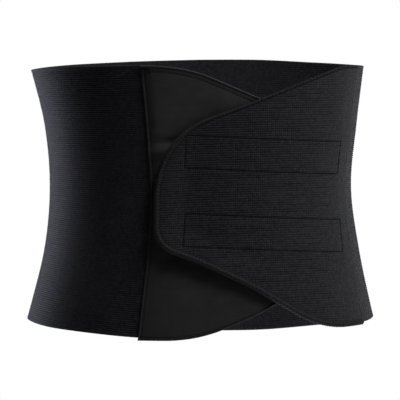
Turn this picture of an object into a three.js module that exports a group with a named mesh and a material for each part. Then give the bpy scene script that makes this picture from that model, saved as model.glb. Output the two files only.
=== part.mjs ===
// Kidney belt: a wrap-round elastic belt, fastened at the front, in the form that a waist gives it.
// Millimetres, +Z up, the front faces -Y, and the origin is on the torso's axis at the waist.
import * as THREE from "three";

// Outer face of the elastic at each height: half-widths to the left, right, front and back
const SECTIONS = [
  { height: -130, left: 149.2, right: 149.3, front: 100, back: 107 },
  { height: -95, left: 139.5, right: 140.8, front: 98, back: 101 },
  { height: -50, left: 128.8, right: 131.5, front: 94.5, back: 93 },
  { height: 0, left: 124.6, right: 125.2, front: 92, back: 89 },
  { height: 50, left: 128.7, right: 129.5, front: 92, back: 92 },
  { height: 105, left: 142.1, right: 136.2, front: 94, back: 99 },
];
const SECTION_POWER = 2.3; // 2 makes each section an ellipse, and more makes it squarer

// Upper and lower rim of the elastic, by angle in degrees from the front centre to the right
const RIMS = [
  { angle: -180, top: 102.3, bottom: -128.8 },
  { angle: -150, top: 100.9, bottom: -127 },
  { angle: -128, top: 99.2, bottom: -121.4 },
  { angle: -90, top: 96.4, bottom: -109.6 },
  { angle: -60, top: 100.2, bottom: -113.6 },
  { angle: -27, top: 102.2, bottom: -118.6 },
  { angle: 0, top: 102.4, bottom: -119.8 },
  { angle: 72, top: 101.2, bottom: -109.6 },
  { angle: 90, top: 99.6, bottom: -107.8 },
  { angle: 128, top: 100.5, bottom: -121.4 },
  { angle: 150, top: 102.2, bottom: -127 },
  { angle: 180, top: 102.3, bottom: -128.8 },
];

// The two front seams, as distances round the waist from the front centre to the right
const LEFT_SEAM = -44;
const RIGHT_SEAM = 137;
const SEAM_OVERLAP = 7; // of panel or flap over the end of the elastic
const SEAM_BOW = 4.2; // of the left seam towards the front centre, where it is nearest to it
const SEAM_BOW_MIDDLE = -14; // height of that place
const SEAM_BOW_ROUNDING = 20; // above and below it, where the seam turns
const SEAM_BOW_LEAN = 0.075; // away from the front centre, for each millimetre further up or down
const SEAM_BOW_REACH = 40; // into the panel

// How the panel goes down beside the end of the elastic: in a step where the flap presses it, and elsewhere in a
// long slope. Starts are past the end of the elastic.
const PANEL_STEP = { start: 8, length: 8 };
const PANEL_SLOPE = { start: -1, length: 48 };
const PRESSED_MIDDLE = -4; // height of the flap's tip
const PRESSED_REACH = { full: 35, none: 75 }; // above and below it

// Outline of the front flap: distance from its seam, height, and how far from a corner its rounding starts
const FLAP_TOP = [
  { along: -2.5, up: 101.2 },
  { along: 19, up: 101.3, rounding: 5 },
  { along: 48, up: 91.6, rounding: 12 },
  { along: 104, up: 69.2, rounding: 14 },
  { along: 174, up: 45, rounding: 52 },
  { along: 174, up: -7.5 },
];
const FLAP_BOTTOM = [
  { along: 3.5, up: -111.4 },
  { along: 45, up: -112.9, rounding: 22 },
  { along: 99, up: -77.9, rounding: 14 },
  { along: 140, up: -57.4, rounding: 14 },
  { along: 174, up: -45.6, rounding: 20 },
  { along: 174, up: -7.5 },
];

// Outline of the loop panel, in the same way, up to its end under the flap
const PANEL_TOP = [
  { along: 0, up: 102.3 },
  { along: 33, up: 101.3, rounding: 24 },
  { along: 97, up: 73.6, rounding: 14 },
  { along: 162, up: 52, rounding: 34 },
  { along: 162, up: 1 },
];
const PANEL_BOTTOM = [
  { along: 0, up: -120.9 },
  { along: 41, up: -121.2, rounding: 24 },
  { along: 89, up: -100.2, rounding: 14 },
  { along: 162, up: -57, rounding: 34 },
  { along: 162, up: 1 },
];

// Soft folds of the loop panel: place round the waist, height, half-length, half-width, lean in degrees, rise
const PANEL_FOLDS = [
  { along: -34, up: 32.5, reach: 11, width: 5, lean: 12, rise: 1.5 },
  { along: -26, up: 39.5, reach: 8.5, width: 3.2, lean: 8, rise: -1.5 },
  { along: 14, up: 74, reach: 26, width: 10, lean: -20, rise: 0.8 },
  { along: -22, up: -52, reach: 12, width: 4, lean: 34, rise: -0.9 },
  { along: -12, up: -88, reach: 24, width: 12, lean: 18, rise: 0.8 },
  { along: 24, up: -96, reach: 22, width: 7, lean: 28, rise: -0.6 },
];

// Thickness of each cloth, and the gaps between them
const ELASTIC_THICKNESS = 2;
const PANEL_THICKNESS = 1.3;
const FLAP_THICKNESS = 1.8;
const STRIP_THICKNESS = 0.7;
const GAP = 0.3;

// Sewn edges of the panel: width across the cloth, and how far they stand proud of its face
const PANEL_EDGING_WIDTH = 2.6;
const PANEL_EDGING_PROUD = 0.5;
const EDGING_GAP = 0.2; // between an edging and the cloth that it borders
const PANEL_EDGING_SHARE = 0.66; // of the panel's edge, the rest of which is plain under the flap
const EDGING_SIDES = 10;

// Free edge of the flap, by share of the way round it from the top of its seam: how far it stands off, how wide
// its sewn edge is, and how far that stands proud of the flap's face
const FREE_EDGE = [
  { share: 0, lift: 0.2, width: 2.4, proud: 0.5 },
  { share: 0.14, lift: 0.3, width: 2.6, proud: 0.4 },
  { share: 0.28, lift: 0.5, width: 2.9, proud: 0.5 },
  { share: 0.36, lift: 1.6, width: 3.8, proud: 0.8 },
  { share: 0.43, lift: 3.2, width: 4.6, proud: 1.1 },
  { share: 0.5, lift: 3.8, width: 4.8, proud: 1.2 },
  { share: 0.6, lift: 4.2, width: 4.8, proud: 1.2 },
  { share: 0.7, lift: 2.6, width: 4.8, proud: 1.2 },
  { share: 0.78, lift: 0.9, width: 4.8, proud: 1.2 },
  { share: 0.9, lift: 0.4, width: 4.6, proud: 1.1 },
  { share: 1, lift: 0.2, width: 4.2, proud: 0.9 },
];
const STAND_OFF_REACH = 28; // from the edge to where the flap lies close again
const TIP_RISE_START = -4; // round the waist, where the flap starts to rise over the panel's seam
const TIP_RISE_END = -25;

// Hook strips behind the flap: middle of each one, and their common size and lean
const STRIPS = [
  { name: "hook_strip_upper", along: 55.7, up: 29 },
  { name: "hook_strip_lower", along: 54.7, up: -34.5 },
];
const STRIP_LENGTH = 136.5;
const STRIP_WIDTH = 28;
const STRIP_LEAN = THREE.MathUtils.degToRad(-2.9);

// Facets of each cloth
const BODY_GRID = { columns: 64, rows: 10 };
const PANEL_GRID = { columns: 34, rows: 12 };
const FLAP_GRID = { columns: 38, rows: 14 };
const STRIP_GRID = { columns: 22, rows: 3 };
const FLAP_EDGING_STEPS = 76;
const PANEL_EDGING_STEPS = 26;

const ELASTIC_LOOK = { color: 0x17171a, roughness: 0.85, metalness: 0 };
const LOOP_LOOK = { color: 0x202022, roughness: 0.95, metalness: 0 };
const THREAD_LOOK = { color: 0x26262a, roughness: 0.7, metalness: 0 };
const HOOK_LOOK = { color: 0x121214, roughness: 0.6, metalness: 0 };

const { smoothstep, lerp, degToRad, radToDeg } = THREE.MathUtils;

// Smooth value of one column of a table, read at a value of another column whose steps may be uneven
function tableValue(rows, input, output, at) {
  const last = rows.length - 1;
  let index = 0;
  while (index < last - 1 && at > rows[index + 1][input]) index += 1;
  const step = (i) => rows[i + 1][input] - rows[i][input];
  const slope = (i) => (rows[i + 1][output] - rows[i][output]) / step(i);
  const tangent = (i) => {
    if (i === 0) return slope(0);
    if (i === last) return slope(last - 1);
    return (slope(i - 1) * step(i) + slope(i) * step(i - 1)) / (step(i - 1) + step(i));
  };
  const length = step(index);
  const t = (at - rows[index][input]) / length;
  const start = rows[index][output];
  const end = rows[index + 1][output];
  const eased = t * t * (3 - 2 * t);
  const leaving = t * (1 - t) * (1 - t) * length * tangent(index);
  const arriving = t * t * (t - 1) * length * tangent(index + 1);
  return lerp(start, end, eased) + leaving + arriving;
}

// Point of the elastic's outer face in plan, at an angle from the front centre
function sectionPoint(angle, height) {
  const across = Math.sin(angle);
  const ahead = Math.cos(angle);
  const halfWidth = tableValue(SECTIONS, "height", across < 0 ? "left" : "right", height);
  const halfDepth = tableValue(SECTIONS, "height", ahead < 0 ? "back" : "front", height);
  const sum = Math.abs(across / halfWidth) ** SECTION_POWER + Math.abs(ahead / halfDepth) ** SECTION_POWER;
  const radius = sum ** (-1 / SECTION_POWER);
  return new THREE.Vector2(radius * across, -radius * ahead);
}

// Point at a distance outside that face, square to it in plan
function wallPoint(angle, height, offset) {
  const nearby = 0.001;
  const point = sectionPoint(angle, height);
  const run = sectionPoint(angle + nearby, height).sub(sectionPoint(angle - nearby, height)).normalize();
  return new THREE.Vector3(point.x + run.y * offset, point.y - run.x * offset, height);
}

// Angles and distances round the waist, from the back round the left to the front and on to the back
const WAIST_STEPS = 1440;
const waistAngles = Array.from({ length: WAIST_STEPS + 1 }, (_, i) => Math.PI * ((2 * i) / WAIST_STEPS - 1));
const waistDistances = [0];
for (let i = 1; i <= WAIST_STEPS; i += 1) {
  const step = sectionPoint(waistAngles[i], 0).distanceTo(sectionPoint(waistAngles[i - 1], 0));
  waistDistances.push(waistDistances[i - 1] + step);
}
const FRONT_DISTANCE = waistDistances[WAIST_STEPS / 2];
const WAIST_LENGTH = waistDistances[WAIST_STEPS];

// Angle of the point at a distance round the waist from the front centre
function angleAt(along) {
  const distance = along + FRONT_DISTANCE;
  const wrapped = distance > WAIST_LENGTH ? distance - WAIST_LENGTH : distance;
  const turn = distance > WAIST_LENGTH ? 2 * Math.PI : 0;
  let index = 0;
  while (index < WAIST_STEPS - 1 && wrapped > waistDistances[index + 1]) index += 1;
  const share = (wrapped - waistDistances[index]) / (waistDistances[index + 1] - waistDistances[index]);
  return lerp(waistAngles[index], waistAngles[index + 1], share) + turn;
}

const clothPoint = (place, offset) => wallPoint(angleAt(place.x), place.y, offset);

// Closed mesh from vertices and corner lists
function solid(points, triangles) {
  const geometry = new THREE.BufferGeometry().setFromPoints(points);
  geometry.setIndex(triangles);
  geometry.computeVertexNormals();
  return geometry;
}

// Cloth wall: an inner and an outer face over a grid, joined all round. Columns run right, rows run up.
function clothWall({ columns, rows }, pointAt) {
  const points = [];
  const triangles = [];
  const vertex = (side, i, j) => (side * (columns + 1) + i) * (rows + 1) + j;
  const inner = (i, j) => vertex(0, i, j);
  const outer = (i, j) => vertex(1, i, j);
  const quad = (a, b, c, d) => triangles.push(a, b, c, a, c, d);
  for (const side of [0, 1]) {
    for (let i = 0; i <= columns; i += 1) {
      for (let j = 0; j <= rows; j += 1) points.push(pointAt(i / columns, j / rows, side));
    }
  }
  for (let i = 0; i < columns; i += 1) {
    for (let j = 0; j < rows; j += 1) {
      quad(outer(i, j), outer(i + 1, j), outer(i + 1, j + 1), outer(i, j + 1));
      quad(inner(i, j), inner(i, j + 1), inner(i + 1, j + 1), inner(i + 1, j));
    }
    quad(outer(i, 0), inner(i, 0), inner(i + 1, 0), outer(i + 1, 0));
    quad(outer(i, rows), outer(i + 1, rows), inner(i + 1, rows), inner(i, rows));
  }
  for (let j = 0; j < rows; j += 1) {
    quad(outer(0, j), outer(0, j + 1), inner(0, j + 1), inner(0, j));
    quad(outer(columns, j), inner(columns, j), inner(columns, j + 1), outer(columns, j + 1));
  }
  return solid(points, triangles);
}

// Edge curve of a flap or panel through its corners, placed from its seam towards the front
function edgeCurve(corners, seam, direction) {
  const place = ({ along, up }) => new THREE.Vector2(seam + direction * along, up);
  const towards = (from, to, distance) => from.clone().add(to.clone().sub(from).setLength(distance));
  const curve = new THREE.Path();
  curve.moveTo(...place(corners[0]));
  for (let i = 1; i < corners.length - 1; i += 1) {
    const corner = place(corners[i]);
    const start = towards(corner, place(corners[i - 1]), corners[i].rounding);
    const end = towards(corner, place(corners[i + 1]), corners[i].rounding);
    curve.lineTo(start.x, start.y);
    curve.quadraticCurveTo(corner.x, corner.y, end.x, end.y);
  }
  curve.lineTo(...place(corners[corners.length - 1]));
  return curve;
}

// Point of an edge curve moved into the cloth by a distance. The cloth lies to one side of the curve.
function insetPoint(curve, share, distance, side) {
  const run = curve.getTangentAt(share);
  return curve.getPointAt(share).add(new THREE.Vector2(run.y, -run.x).multiplyScalar(side * distance));
}

const flapTop = edgeCurve(FLAP_TOP, RIGHT_SEAM, -1);
const flapBottom = edgeCurve(FLAP_BOTTOM, RIGHT_SEAM, -1);
const panelTop = edgeCurve(PANEL_TOP, LEFT_SEAM, 1);
const panelBottom = edgeCurve(PANEL_BOTTOM, LEFT_SEAM, 1);

// Place of the panel, moved where its seam bows
function bowed(place) {
  const turned = Math.hypot(place.y - SEAM_BOW_MIDDLE, SEAM_BOW_ROUNDING) - SEAM_BOW_ROUNDING;
  const nearSeam = 1 - smoothstep(place.x - LEFT_SEAM, 0, SEAM_BOW_REACH);
  return new THREE.Vector2(place.x + (SEAM_BOW - SEAM_BOW_LEAN * turned) * nearSeam, place.y);
}

// Height of the loop panel's inner face: over the end of the elastic at its seam, and then level with it
const ELASTIC_END = LEFT_SEAM + SEAM_OVERLAP;
function panelInner(place) {
  const clear = smoothstep(Math.abs(place.y - PRESSED_MIDDLE), PRESSED_REACH.full, PRESSED_REACH.none);
  const start = ELASTIC_END + lerp(PANEL_STEP.start, PANEL_SLOPE.start, clear);
  const stepDown = smoothstep(place.x, start, start + lerp(PANEL_STEP.length, PANEL_SLOPE.length, clear));
  let folds = 0;
  for (const fold of PANEL_FOLDS) {
    const lean = degToRad(fold.lean);
    const right = place.x - fold.along;
    const up = place.y - fold.up;
    const lengthwise = (right * Math.cos(lean) + up * Math.sin(lean)) / fold.reach;
    const crosswise = (up * Math.cos(lean) - right * Math.sin(lean)) / fold.width;
    folds += fold.rise * Math.exp(-(lengthwise ** 2 + crosswise ** 2));
  }
  return lerp(GAP, -ELASTIC_THICKNESS, stepDown) + folds;
}

// Point at a share of the way round the flap's free edge, moved into the flap by a distance
function freeEdgePoint(share, distance) {
  return share <= 0.5
    ? insetPoint(flapTop, 2 * share, distance, -1)
    : insetPoint(flapBottom, 2 - 2 * share, distance, 1);
}

const freeEdgeValue = (column, share) => tableValue(FREE_EDGE, "share", column, share);

// Free edge of the flap as points with their share of the way round
const FREE_EDGE_STEPS = 240;
const freeEdge = [];
for (let i = 0; i <= FREE_EDGE_STEPS; i += 1) {
  const share = i / FREE_EDGE_STEPS;
  freeEdge.push({ point: freeEdgePoint(share, 0), share });
}

// Height of the flap's inner face: close to the elastic at its seam, over the hook strips and the loop panel,
// up over the panel's seam at its tip, and standing off along its free edge
const FLAP_SEAT = PANEL_THICKNESS + STRIP_THICKNESS + 2 * GAP - ELASTIC_THICKNESS;
const TIP_SEAT = PANEL_THICKNESS + 2 * GAP;
function flapInner(place) {
  let nearest = freeEdge[0];
  for (const candidate of freeEdge) {
    if (candidate.point.distanceTo(place) < nearest.point.distanceTo(place)) nearest = candidate;
  }
  const distance = nearest.point.distanceTo(place);
  const standOff = freeEdgeValue("lift", nearest.share) * (1 - smoothstep(distance, 0, STAND_OFF_REACH));
  const fromSeam = smoothstep(RIGHT_SEAM - place.x, SEAM_OVERLAP, 2 * SEAM_OVERLAP);
  const overSeam = smoothstep(-place.x, -TIP_RISE_START, -TIP_RISE_END);
  return lerp(lerp(GAP, FLAP_SEAT, fromSeam), TIP_SEAT, overSeam) + standOff;
}

// Ribbed elastic from the left seam round the back to the right seam
function makeElasticBody() {
  const start = RIGHT_SEAM - SEAM_OVERLAP;
  const end = LEFT_SEAM + SEAM_OVERLAP + WAIST_LENGTH;
  return clothWall(BODY_GRID, (s, t, side) => {
    const angle = angleAt(lerp(start, end, s));
    const turned = angle > Math.PI ? angle - 2 * Math.PI : angle;
    const bottom = tableValue(RIMS, "angle", "bottom", radToDeg(turned));
    const top = tableValue(RIMS, "angle", "top", radToDeg(turned));
    return wallPoint(angle, lerp(bottom, top, t), side ? 0 : -ELASTIC_THICKNESS);
  });
}

function makeLoopPanel() {
  const inset = PANEL_EDGING_WIDTH + EDGING_GAP;
  return clothWall(PANEL_GRID, (s, t, side) => {
    const top = insetPoint(panelTop, s, inset, 1);
    const bottom = insetPoint(panelBottom, s, inset, -1);
    const place = bowed(bottom.lerp(top, t));
    return clothPoint(place, panelInner(place) + side * PANEL_THICKNESS);
  });
}

function makeFrontFlap() {
  const borderPoint = (share) => freeEdgePoint(share, freeEdgeValue("width", share) + EDGING_GAP);
  return clothWall(FLAP_GRID, (s, t, side) => {
    const top = borderPoint((1 - s) / 2);
    const bottom = borderPoint((1 + s) / 2);
    const place = bottom.lerp(top, t);
    return clothPoint(place, flapInner(place) + side * FLAP_THICKNESS);
  });
}

function makeHookStrip(strip) {
  const middle = new THREE.Vector2(strip.along, strip.up);
  return clothWall(STRIP_GRID, (s, t, side) => {
    const place = new THREE.Vector2((s - 0.5) * STRIP_LENGTH, (t - 0.5) * STRIP_WIDTH);
    place.rotateAround(new THREE.Vector2(), STRIP_LEAN).add(middle);
    return clothPoint(place, flapInner(place) - GAP - (1 - side) * STRIP_THICKNESS);
  });
}

// Sewn edge: an oval section swept along a cloth's edge, with its inner side level with the cloth's
function makeEdging({ steps, widthAt, thicknessAt, edgeAt, innerAt }) {
  const points = [];
  const triangles = [];
  for (let i = 0; i <= steps; i += 1) {
    const share = i / steps;
    const width = widthAt(share);
    const base = innerAt(edgeAt(share, width));
    for (let k = 0; k < EDGING_SIDES; k += 1) {
      const turn = (2 * Math.PI * k) / EDGING_SIDES;
      const place = edgeAt(share, (width / 2) * (1 - Math.cos(turn)));
      points.push(clothPoint(place, base + (thicknessAt(share) / 2) * (1 + Math.sin(turn))));
    }
  }
  const vertex = (i, k) => i * EDGING_SIDES + (k % EDGING_SIDES);
  for (let i = 0; i < steps; i += 1) {
    for (let k = 0; k < EDGING_SIDES; k += 1) {
      triangles.push(vertex(i, k), vertex(i + 1, k + 1), vertex(i, k + 1));
      triangles.push(vertex(i, k), vertex(i + 1, k), vertex(i + 1, k + 1));
    }
  }
  for (let k = 1; k < EDGING_SIDES - 1; k += 1) {
    triangles.push(vertex(0, 0), vertex(0, k), vertex(0, k + 1));
    triangles.push(vertex(steps, 0), vertex(steps, k + 1), vertex(steps, k));
  }
  return solid(points, triangles);
}

function makeFlapEdging() {
  return makeEdging({
    steps: FLAP_EDGING_STEPS,
    widthAt: (share) => freeEdgeValue("width", share),
    thicknessAt: (share) => FLAP_THICKNESS + freeEdgeValue("proud", share),
    edgeAt: freeEdgePoint,
    innerAt: flapInner,
  });
}

function makePanelEdging(edgeAt) {
  return makeEdging({
    steps: PANEL_EDGING_STEPS,
    widthAt: () => PANEL_EDGING_WIDTH,
    thicknessAt: () => PANEL_THICKNESS + PANEL_EDGING_PROUD,
    edgeAt,
    innerAt: panelInner,
  });
}

function makePanelTopEdging() {
  return makePanelEdging((share, distance) =>
    bowed(insetPoint(panelTop, (1 - share) * PANEL_EDGING_SHARE, distance, 1)),
  );
}

function makePanelBottomEdging() {
  return makePanelEdging((share, distance) =>
    bowed(insetPoint(panelBottom, share * PANEL_EDGING_SHARE, distance, -1)),
  );
}

const belt = new THREE.Group();
function addPiece(name, geometry, look) {
  const mesh = new THREE.Mesh(geometry, new THREE.MeshStandardMaterial(look));
  mesh.name = name;
  belt.add(mesh);
}

addPiece("elastic_body", makeElasticBody(), ELASTIC_LOOK);
addPiece("loop_panel", makeLoopPanel(), LOOP_LOOK);
addPiece("panel_top_edging", makePanelTopEdging(), THREAD_LOOK);
addPiece("panel_bottom_edging", makePanelBottomEdging(), THREAD_LOOK);
addPiece("front_flap", makeFrontFlap(), ELASTIC_LOOK);
addPiece("flap_edging", makeFlapEdging(), THREAD_LOOK);
for (const strip of STRIPS) addPiece(strip.name, makeHookStrip(strip), HOOK_LOOK);

export default belt;
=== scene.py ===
# Kidney belt in the form that a waist gives it: ribbed elastic, a smooth loop panel and a tapered front flap.
# Sizes are in millimetres until a mesh is made. The front faces -Y, and the origin is on the torso's axis at
# the waist.
import math

import bmesh
import bpy
import numpy as np
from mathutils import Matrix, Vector


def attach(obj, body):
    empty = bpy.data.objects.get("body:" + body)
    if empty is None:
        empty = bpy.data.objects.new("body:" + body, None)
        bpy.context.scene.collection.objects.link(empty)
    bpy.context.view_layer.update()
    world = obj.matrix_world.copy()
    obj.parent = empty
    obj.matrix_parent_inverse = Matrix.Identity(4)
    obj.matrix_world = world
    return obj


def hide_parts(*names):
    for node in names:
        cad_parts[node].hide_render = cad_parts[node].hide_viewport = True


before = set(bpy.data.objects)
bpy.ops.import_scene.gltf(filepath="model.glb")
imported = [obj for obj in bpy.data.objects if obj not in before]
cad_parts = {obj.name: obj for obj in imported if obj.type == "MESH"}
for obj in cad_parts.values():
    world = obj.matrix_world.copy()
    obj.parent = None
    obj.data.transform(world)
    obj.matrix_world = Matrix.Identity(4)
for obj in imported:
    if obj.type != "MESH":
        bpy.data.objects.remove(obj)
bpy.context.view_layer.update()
scene = bpy.context.scene

MM = 0.001
RANDOM_SEED = 11

# Outer face of the elastic: height, and half-widths there to the left, right, front and back
SECTION_HEIGHT, *HALF_WIDTHS = np.array([
    (-130, 149.2, 149.3, 100, 107),
    (-95, 139.5, 140.8, 98, 101),
    (-50, 128.8, 131.5, 94.5, 93),
    (0, 124.6, 125.2, 92, 89),
    (50, 128.7, 129.5, 92, 92),
    (105, 142.1, 136.2, 94, 99),
]).T
SECTION_POWER = 2.3  # 2 makes each section an ellipse, and more makes it squarer

# Rims of the elastic: angle in degrees from the front centre to the right, upper rim, lower rim
RIM_ANGLE, RIM_TOP, RIM_BOTTOM = np.array([
    (-180, 102.3, -128.8),
    (-150, 100.9, -127),
    (-128, 99.2, -121.4),
    (-90, 96.4, -109.6),
    (-60, 100.2, -113.6),
    (-27, 102.2, -118.6),
    (0, 102.4, -119.8),
    (72, 101.2, -109.6),
    (90, 99.6, -107.8),
    (128, 100.5, -121.4),
    (150, 102.2, -127),
    (180, 102.3, -128.8),
]).T

# The two front seams, as distances round the waist from the front centre to the right
LEFT_SEAM = -44
RIGHT_SEAM = 137
SEAM_OVERLAP = 7
SEAM_BOW = 4.2  # of the left seam towards the front centre, where it is nearest to it
SEAM_BOW_MIDDLE = -14  # height of that place
SEAM_BOW_ROUNDING = 20  # above and below it, where the seam turns
SEAM_BOW_LEAN = 0.075  # away from the front centre, for each millimetre further up or down
SEAM_BOW_REACH = 40
PANEL_STEP_START = LEFT_SEAM + SEAM_OVERLAP + 8  # where the panel steps down beside the elastic
PANEL_STEP_LENGTH = 8
PANEL_SLOPE_START = LEFT_SEAM + SEAM_OVERLAP - 1  # where it slopes down clear of the flap
PANEL_SLOPE_LENGTH = 48
FLAP_MIDDLE = -4  # height of the flap's tip
FLAP_PRESS_START = 75  # above and below the flap's middle, where the panel lies clear of it
FLAP_PRESS_END = 35

# Outlines: distance from the seam, height, and how far from a corner its rounding starts
FLAP_TOP = [
    (-2.5, 101.2, 0), (19, 101.3, 5), (48, 91.6, 12), (104, 69.2, 14), (174, 45, 52), (174, -7.5, 0),
]
FLAP_BOTTOM = [
    (3.5, -111.4, 0), (45, -112.9, 22), (99, -77.9, 14), (140, -57.4, 14), (174, -45.6, 20), (174, -7.5, 0),
]
PANEL_TOP = [(0, 102.3, 0), (33, 101.3, 24), (97, 73.6, 14), (162, 52, 34), (162, 1, 0)]
PANEL_BOTTOM = [(0, -120.9, 0), (41, -121.2, 24), (89, -100.2, 14), (162, -57, 34), (162, 1, 0)]

# Soft folds of the loop panel: place round the waist, height, half-length, half-width, lean in degrees, rise
PANEL_FOLDS = [
    (-34, 32.5, 11, 5, 12, 1.5),
    (-26, 39.5, 8.5, 3.2, 8, -1.5),
    (14, 74, 26, 10, -20, 0.8),
    (-22, -52, 12, 4, 34, -0.9),
    (-12, -88, 24, 12, 18, 0.8),
    (24, -96, 22, 7, 28, -0.6),
]

# Slow waves of the loop panel: length, direction in radians, shift in radians
PANEL_WAVES = [(47, 0.5, 0.3), (31, 1.9, 1.7), (23, 2.7, 4.1)]
PANEL_WAVE_HEIGHT = 0.09

ELASTIC_THICKNESS = 2.0
PANEL_THICKNESS = 1.3
FLAP_THICKNESS = 1.8
STRIP_THICKNESS = 0.7
GAP = 0.3
PANEL_EDGING_WIDTH = 2.6
PANEL_EDGING_SHARE = 0.66  # of the panel's edge, the rest of which is plain under the flap

# Free edge of the flap: share of the way round it from the top of its seam, how far it stands off there, how
# wide its sewn edge is, and how far that stands proud of the flap's face
FREE_EDGE_SHARE, STAND_OFF, FLAP_EDGING_WIDTH, FLAP_EDGING_PROUD = np.array([
    (0, 0.2, 2.4, 0.5),
    (0.14, 0.3, 2.6, 0.4),
    (0.28, 0.5, 2.9, 0.5),
    (0.36, 1.6, 3.8, 0.8),
    (0.43, 3.2, 4.6, 1.1),
    (0.5, 3.8, 4.8, 1.2),
    (0.6, 4.2, 4.8, 1.2),
    (0.7, 2.6, 4.8, 1.2),
    (0.78, 0.9, 4.8, 1.2),
    (0.9, 0.4, 4.6, 1.1),
    (1, 0.2, 4.2, 0.9),
]).T
STAND_OFF_REACH = 28
TIP_RISE_START = 4  # to the left of the front centre, where the flap starts to rise over the panel's seam
TIP_RISE_END = 25
FLAP_SEAT = PANEL_THICKNESS + STRIP_THICKNESS + 2 * GAP - ELASTIC_THICKNESS
TIP_SEAT = PANEL_THICKNESS + 2 * GAP

# Stitched rectangles over the hook strips: middle of each one, and their common size and lean
STRIP_MIDDLES = [(55.7, 29), (54.7, -34.5)]
STITCHED_LENGTH = 135
STITCHED_WIDTH = 26.5
STRIP_LEAN = math.radians(-2.9)

# Ribs of the elastic
BODY_RIBS = 127
BODY_RIB_PITCH = 1.75
FLAP_RIB_PITCH = 1.87
ROWS_PER_RIB = 4
BODY_RIB_DEPTH = 0.55
FLAP_RIB_DEPTH = 0.42
RIB_ROUNDNESS = 0.8  # below 1 the top of each rib is broad and the valley narrow
RIB_UNEVENNESS = 0.25
RIB_CHANGE = 6.0  # along a rib, from one strength to the next
RIB_BLEND = 3  # neighbouring strengths that are averaged
RIB_VALLEY_SHADE = 0.38  # painted shade: tone of the yarns between the ribs against those on them, for the shade in the valleys
SEAM_PULL = 0.7  # of the ribs' depth, which the pull beside the flap's seam takes away
SEAM_PULL_REACH = 24
INNER_RIBS = 0.35  # of the ribs' depth on the inner faces
SELVEDGE_START = 2.6  # from a rim, where the ribs are at full depth
SELVEDGE_END = 1.2
SELVEDGE_TONE = 0.7
FLAP_SELVEDGE_START = 1.2
FLAP_SELVEDGE_END = 0.2
RIB_CREST_PLACE = 86  # round the waist, where the flap's ribs are highest
RIB_DROP = 2.6
RIB_DROP_REACH = 123

# Facets, and the steps from an edge that round it
BODY_COLUMN = 6.2
FLAP_COLUMN = 3.1
FLAP_COLUMNS_REACH = 180  # from the flap's seam, past its tip
FLAP_COLUMNS_SPARE = 5  # past the seam
PANEL_COLUMN = 2.2
PANEL_ROWS = 90  # between the two hems
FINE_COLUMN = 0.42
FINE_REACH = 2.6  # either side of a stitched line that crosses the ribs
EDGE_STEPS = np.array((0.12, 0.4, 0.9))
CORNER_POINTS = 33
EDGE_POINTS = 800
NEAREST_BLOCK = 4000  # places that are compared with an edge at a time
WELD_DISTANCE = 1e-7
THREAD_SIDES = 6
LINE_POINTS = 200
RECTANGLE_POINTS = 800
SHEET_MARGIN = 0.01  # round each half of a cloth's flat map
CELL_SHARE = 0.9  # of its cell in the flat map, which a stretch of thread fills

# Sewn lines
GROOVE_WIDTH = 0.6
STRIP_GROOVE = 0.5
STRIP_SHADE = 0.55  # painted shade in the groove of a stitched rectangle
HEM_GROOVE = 0.2
LOWER_HEM_GROOVE = 0.3
FLAP_SEAM_GROOVE = 0.15
PANEL_SEAM_GROOVE = 0.45
LOW_DOWN = -60  # heights of the panel that are low down and high up
HIGH_UP = 20
PANEL_SINK_LOW = 0.3  # of the panel beside its seam, low down and high up
PANEL_SINK_HIGH = 0.9
PANEL_SINK_REACH = 7
PANEL_SINK_LIMIT = 0.8  # of half the panel's thickness, below its middle
SEAM_SHADE = 0.2  # painted shade in the groove of a seam
PILE_PAINTED_LIGHT_LOW = 0.82  # painted light on the brushed pile, low down and high up: it is lighter high up, where more light falls
PILE_PAINTED_LIGHT_HIGH = 1.1
PILE_SHADE = 0.42  # of the pile under the upper hem, where it is darker, and painted shade on the pile beside the seam high up
# Painted shade in the stitch grooves of the panel's hem and seam
STITCH_SHADE = 0.15
# Painted highlight on the seam's folded ridge, which catches the light
SEAM_RIDGE_HIGHLIGHT = 0.5
SEAM_RIDGE = 0.4
SEAM_RIDGE_WIDTH = 0.45
SEAM_RIDGE_PLACE = 0.7
SEAM_STITCH_PLACE = 2.2
HEM_GROOVE_PLACE = 2.5
HEM_STITCH_PLACE = 5.0
HEM_FADE = 1  # past the hem's stitches, where the pile stands up again
RELIEF_START = 1.0  # from the panel's border, where its sewn lines are at full depth
STITCH_LENGTH = 2.5
STITCH_GAP = 0.5
STITCH_RADIUS = 0.2
STITCH_STEPS = 8
STITCH_CREST = 1.0  # in radii over the groove, at the middle of a stitch
STITCH_DIP = 1.2  # in radii under it, at a stitch's ends
PANEL_EDGING_PROUD = 0.5
BEAD_COVER = 0.6  # of the threads over the cloth in an overlocked edge
BEAD_CLOTH_TONE = 0.45  # of that cloth
BEAD_BACK = 0.6  # of the thickness behind that cloth's middle
BEAD_END = 0.9  # in widths of an overlocked edge from its rim, where the ribs start to show
RIBS_START = 1.3  # in the same widths, where they are at full depth
NEEDLE_SHADE = 0.4  # painted shade on the cloth beside an overlocked edge, at its needle thread
NEEDLE_PLACE = 1.15  # in the same widths
NEEDLE_WIDTH = 0.15
NEEDLE_SINK = 1.4  # in radii, from the top of an overlocked edge to the middle of the needle's thread
FLAP_LOOP_RADIUS = 0.6
FLAP_LOOP_PITCH = 3.0
PANEL_LOOP_RADIUS = 0.3
PANEL_LOOP_PITCH = 1.4
LOOP_STEPS = 12
LOOP_SKEW = 0.3  # of a stitch, between the edge and the needle line
ROLL_RADIUS = 0.8
ROLL_LIFT = 0.15  # of its middle over the panel's
ROLL_STEPS = 180
ROLL_SIDES = 14

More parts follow.
